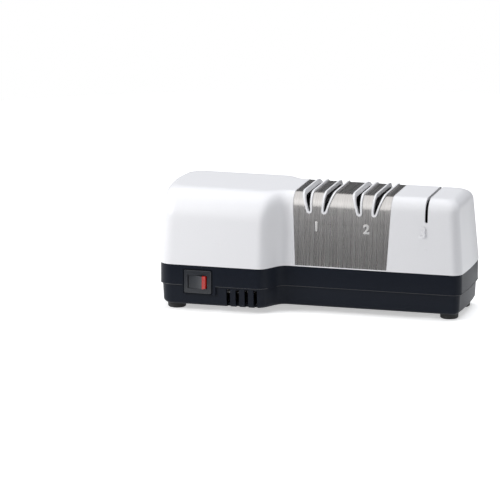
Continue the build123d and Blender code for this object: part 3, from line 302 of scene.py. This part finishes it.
# %% Group: long scratches
scratches, g_in, g_out = new_group("long_scratches", ("Across", "Along", "Low", "High"))
coords = scratches.nodes.new("ShaderNodeTexCoord")
stretch = scratches.nodes.new("ShaderNodeCombineXYZ")
scale = scratches.nodes.new("ShaderNodeVectorMath")
scale.operation = "MULTIPLY"
fine = scratches.nodes.new("ShaderNodeTexNoise")
fine.inputs["Scale"].default_value = 1
fine.inputs["Detail"].default_value = 4
scratches.links.new(g_in.outputs["Across"], stretch.inputs[0])
scratches.links.new(g_in.outputs["Along"], stretch.inputs[1])
scratches.links.new(g_in.outputs["Along"], stretch.inputs[2])
scratches.links.new(coords.outputs["Object"], scale.inputs[0])
scratches.links.new(stretch.outputs[0], scale.inputs[1])
scratches.links.new(scale.outputs[0], fine.inputs["Vector"])
send_out(scratches, fine, g_in, g_out)


def brushed(across, along, low, high):
    """Settings of the long scratches."""
    return {"Across": across, "Along": along, "Low": low, "High": high}


# %% [markdown]
# ## How a finish is built
# Each material is a Principled shader of its own. The group feeds its roughness, a slight change of
# colour and a bump. What is the same all over is set straight on the shader's own socket. It could
# come through a node, but an export to other programs drops a gloss that reaches the shader so.

# %% Material helpers
relief_depth = 0.00005
finishes = {}


def tint(tree, value, dark, light):
    """Blend between two colours by a value that changes over the surface."""
    ramp = tree.nodes.new("ShaderNodeMix")
    ramp.data_type = "RGBA"
    ramp.inputs[6].default_value = (*dark, 1)
    ramp.inputs[7].default_value = (*light, 1)
    tree.links.new(value, ramp.inputs[0])
    return ramp.outputs[2]


def bump(tree, height, strength):
    """Bump from a height that changes over the surface."""
    node = tree.nodes.new("ShaderNodeBump")
    node.inputs["Strength"].default_value = strength
    node.inputs["Distance"].default_value = relief_depth
    tree.links.new(height, node.inputs["Height"])
    return node.outputs[0]


def finish(name, group, values, dark, light, metal=0.0, relief=0.1, coat=0.0, gloss=0.5):
    """Keep a material with a shared effect that drives colour, roughness and bump."""
    made = bpy.data.materials.new(name)
    made.use_nodes = True
    tree = made.node_tree
    shader = tree.nodes["Principled BSDF"]
    effect = tree.nodes.new("ShaderNodeGroup")
    effect.node_tree = group
    for label, value in values.items():
        effect.inputs[label].default_value = value
    height = effect.outputs["Height"]
    shader.inputs["Metallic"].default_value = metal
    shader.inputs["Coat Weight"].default_value = coat
    shader.inputs["Specular IOR Level"].default_value = gloss
    tree.links.new(tint(tree, height, dark, light), shader.inputs["Base Color"])
    tree.links.new(effect.outputs["Roughness"], shader.inputs["Roughness"])
    tree.links.new(bump(tree, height, relief), shader.inputs["Normal"])
    finishes[name] = made
    print("finish", name)


# %% [markdown]
# ## Cover and plate
# The cover is white moulded plastic with a satin skin, so its two colours are close and its bump is
# faint. The plate is brushed stainless steel. Its numerals are paler and less metallic than it is,
# because bare raised steel would mirror the same cards as the plate and vanish.

# %% Cover and plate
finish("white_cover", skin, skin_values(1400, 0.3, 0.38),
       (0.79, 0.785, 0.8), (0.83, 0.825, 0.84), relief=0.04)
finish("brushed_plate", scratches, brushed(1500, 6, 0.2, 0.36),
       (0.56, 0.545, 0.535), (0.78, 0.755, 0.74), metal=1.0, relief=0.14)
finish("number_steel", skin, skin_values(1600, 0.25, 0.35),
       (0.66, 0.65, 0.64), (0.74, 0.73, 0.72), metal=0.25)

# %% [markdown]
# ## Base, feet and switch
# The base is a blue-black plastic. A very dark colour is mostly gloss to the eye, so its specular
# level is turned down rather than its colour. Rubber is rough, and the red rocker end has a clear
# coat like the glossy moulding it stands for.

# %% Base, feet and switch
finish("dark_base", skin, skin_values(1500, 0.36, 0.46),
       (0.004, 0.006, 0.011), (0.008, 0.011, 0.019), relief=0.06, gloss=0.13)
finish("foot_rubber", skin, skin_values(1000, 0.6, 0.75),
       (0.012, 0.012, 0.013), (0.02, 0.02, 0.021), relief=0.15)
finish("switch_black", skin, skin_values(1600, 0.26, 0.34),
       (0.011, 0.013, 0.018), (0.018, 0.021, 0.027), relief=0.04)
finish("switch_red", skin, skin_values(1600, 0.2, 0.28),
       (0.6, 0.016, 0.012), (0.66, 0.024, 0.016), relief=0.03, coat=0.3)

# %% [markdown]
# ## Motor
# Inside, the stator is a stack of thin sheets, which the scratches give as fine lines. Copper, cast
# aluminium and sintered bronze are metals that differ in colour and in how rough they are.

# %% Motor
finish("lamination_steel", scratches, brushed(2000, 6, 0.35, 0.55),
       (0.2, 0.2, 0.21), (0.36, 0.36, 0.37), metal=0.9, relief=0.4)
finish("copper", skin, skin_values(700, 0.25, 0.4),
       (0.62, 0.3, 0.16), (0.78, 0.42, 0.25), metal=1.0)
finish("coil_tape", skin, skin_values(420, 0.35, 0.5),
       (0.6, 0.46, 0.1), (0.74, 0.6, 0.2), relief=0.2)
finish("bobbin", skin, skin_values(1200, 0.4, 0.5),
       (0.68, 0.67, 0.62), (0.76, 0.75, 0.7))
finish("shaft_steel", skin, skin_values(2200, 0.18, 0.3),
       (0.52, 0.52, 0.54), (0.62, 0.62, 0.64), metal=1.0)
finish("cast_aluminium", skin, skin_values(800, 0.4, 0.6),
       (0.5, 0.51, 0.53), (0.64, 0.65, 0.67), metal=1.0, relief=0.3)
finish("bearing_bronze", skin, skin_values(1700, 0.3, 0.5),
       (0.46, 0.31, 0.12), (0.6, 0.43, 0.2), metal=1.0)
finish("zinc_screw", skin, skin_values(1300, 0.22, 0.36),
       (0.56, 0.57, 0.6), (0.7, 0.7, 0.73), metal=1.0)
finish("fan_plastic", skin, skin_values(1200, 0.4, 0.5),
       (0.05, 0.05, 0.055), (0.075, 0.075, 0.08))

# %% [markdown]
# ## Sharpening stages
# The disks carry diamond grit in nickel: metal, but with a coarse relief and a wide spread of
# roughness that breaks its shine. The ceramic wheels of the last stage are rough and not metal.

# %% Sharpening stages
finish("diamond_disk", skin, skin_values(3200, 0.35, 0.7),
       (0.28, 0.28, 0.27), (0.5, 0.5, 0.47), metal=0.8, relief=0.6)
finish("hub_plastic", skin, skin_values(1200, 0.4, 0.5),
       (0.05, 0.05, 0.05), (0.07, 0.07, 0.07))
finish("spring_steel", skin, skin_values(1500, 0.25, 0.35),
       (0.4, 0.4, 0.42), (0.5, 0.5, 0.52), metal=1.0)
finish("guide_plastic", skin, skin_values(1200, 0.4, 0.5),
       (0.018, 0.018, 0.02), (0.026, 0.026, 0.028))
finish("ceramic_wheel", skin, skin_values(2600, 0.7, 0.9),
       (0.22, 0.21, 0.2), (0.38, 0.36, 0.34), relief=0.5)
finish("magnet", skin, skin_values(1100, 0.4, 0.55),
       (0.1, 0.1, 0.1), (0.17, 0.17, 0.17), metal=0.5)
finish("lead_insulation", skin, skin_values(1200, 0.35, 0.45),
       (0.36, 0.36, 0.38), (0.44, 0.44, 0.46))

# %% [markdown]
# ## Dress the nodes
# The record names a material slot for each node. The finish goes into the slots that a node has, so
# its mesh is left as it came.

# %% Put each finish on its nodes
slot_of = {part["node"]: part["material_slot"] for part in frame["record"]["subparts"]}
for name, node in nodes.items():
    material = finishes[slot_of[name]]
    if not node.material_slots:
        node.data.materials.append(material)
    for place in node.material_slots:
        place.material = material
print("dressed", len(slot_of))

# %% [markdown]
# ## Stage numbers
# Plain numerals mark the stages. On the real cover they are raised a fraction of a millimetre out of
# the leaning front wall. A picture on the wall would look flat from the side, so each is text made
# into a mesh first, then turned to the wall and put in place.

# %% Numerals
wall_lean = radians(4.5)
wall_foot = 0.0384
wall_reach = 0.0363
number_height = 0.0714
number_rise = 0.0004
number_round = 0.0002
number_swell = 0.0001
wall_y = -(wall_reach - (number_height - wall_foot) * tan(wall_lean))


def numeral(text, x, size, proud, look):
    """Raised numeral on the front wall, its place baked into the mesh."""
    deselect()
    bpy.ops.object.text_add(location=(0, 0, 0))
    piece = bpy.context.object
    piece.data.body = text
    piece.data.size = size
    piece.data.align_x = "CENTER"
    piece.data.align_y = "CENTER"
    piece.data.extrude = number_rise
    piece.data.bevel_depth = number_round
    piece.data.offset = number_swell
    piece.data.bevel_resolution = 2
    bpy.ops.object.convert(target="MESH")
    piece = bpy.context.object
    piece.name = f"stage_number_{text}"
    stand = Matrix.Rotation(radians(90) - wall_lean, 4, "X")
    place = Matrix.Translation((x, wall_y - proud, number_height))
    piece.data.transform(place @ stand)
    piece.data.update()
    piece.data.materials.append(finishes[look])
    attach(piece, "housing")
    print(piece.name, "faces", len(piece.data.polygons))


numeral("1", 0.0047, 0.0104, 0.0001, "number_steel")
numeral("2", 0.0464, 0.0104, 0.0001, "number_steel")
numeral("3", 0.0932, 0.0120, 0.0006, "white_cover")

# %% [markdown]
# ## Parting bead
# A fine round bead along the lower edge of the frame stands in for the thin light line at the parting.
# It is real relief that the lamps light. It also has the switch's finish, a little lighter in colour
# and glossier than the base, and that part of the line is painted highlight. It could be drawn as a
# curve of its own, but then it would have to be fitted. So it takes the frame's own edges: those at
# the parting height with an upright face that looks away from the origin. No face does so where the
# shoulder is steepest, and the bead has a short gap there on both sides.

# %% Find the bead's edges
parting = 0.0217
level_slack = 1e-5
upright_limit = 0.3
outward_limit = 0.001

frame_mesh = nodes["main_frame"].data
edge_faces = {}
for face in frame_mesh.polygons:
    for key in face.edge_keys:
        edge_faces.setdefault(key, []).append(face)


def looks_away(face, middle):
    """Whether an upright face looks away from the origin, seen from above."""
    outward = face.normal.x * middle.x + face.normal.y * middle.y
    return abs(face.normal.z) < upright_limit and outward > outward_limit


corners, pairs, order = [], [], {}
for key, faces in edge_faces.items():
    ends = [frame_mesh.vertices[i].co for i in key]
    level = all(abs(end.z - parting) < level_slack for end in ends)
    middle = (ends[0] + ends[1]) / 2
    if level and any(looks_away(face, middle) for face in faces):
        for i in key:
            if i not in order:
                order[i] = len(corners)
                corners.append(frame_mesh.vertices[i].co.copy())
        pairs.append((order[key[0]], order[key[1]]))
print("bead edges", len(pairs))

# %% [markdown]
# ### From edges to a bead
# The edges become a mesh of bare lines and then a curve, because a curve can be given a round
# section with one number. At the end it is a mesh again, as every finished piece is.

# %% Parting bead
bead_radius = 0.00022

bead_mesh = bpy.data.meshes.new("parting_highlight_bead")
bead_mesh.from_pydata(corners, pairs, [])
bead = bpy.data.objects.new("parting_highlight_bead", bead_mesh)
bpy.context.scene.collection.objects.link(bead)
deselect()
bead.select_set(True)
bpy.context.view_layer.objects.active = bead
bpy.ops.object.convert(target="CURVE")
bead.data.bevel_depth = bead_radius
bead.data.bevel_resolution = 1
bpy.ops.object.convert(target="MESH")
# Painted highlight: the switch's finish is a little lighter and glossier than the base, so the bead
# shows as a light line.
bead.data.materials.append(finishes["switch_black"])
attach(bead, "housing")
print("bead faces", len(bead.data.polygons))
